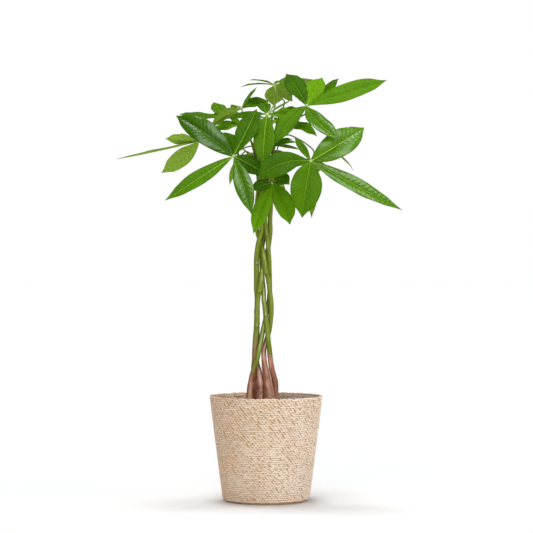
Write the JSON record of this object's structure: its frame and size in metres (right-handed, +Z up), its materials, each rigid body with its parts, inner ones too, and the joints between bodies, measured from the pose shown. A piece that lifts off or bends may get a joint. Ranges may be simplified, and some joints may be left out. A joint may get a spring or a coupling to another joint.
{
  "type": "potted money tree",
  "caption": "House plant with slim braided trunks and a crown of palmate leaves, in a nursery pot inside a tapered basket of coiled rope.",
  "frame": {"origin": "centre of the basket's flat foot, on the surface that it stands on", "axes": "+Z up along the basket's axis; the front faces -Y and +X is to the viewer's right"},
  "size_m": [0.5186, 0.339, 0.7881],
  "materials": {
    "rope": "matte",
    "liner": "satin",
    "pot": "matte",
    "soil": "matte",
    "trunk": "satin",
    "leaf": "satin"
  },
  "bodies": {
    "root": {"basket": "rope", "liner": "liner", "nursery_pot": "pot", "soil": "soil", "trunk_1": "trunk", "trunk_2": "trunk", "trunk_3": "trunk", "trunk_4": "trunk", "trunk_5": "trunk", "leaf_a": "leaf", "leaf_b": "leaf", "leaf_c": "leaf", "leaf_d": "leaf", "leaf_e": "leaf", "leaf_f": "leaf", "leaf_g": "leaf", "leaf_h": "leaf", "leaf_i": "leaf", "leaf_j": "leaf", "leaf_k": "leaf", "leaf_l": "leaf", "leaf_m": "leaf", "leaf_n": "leaf", "leaf_o": "leaf", "leaf_p": "leaf"}
  },
  "joints": []
}
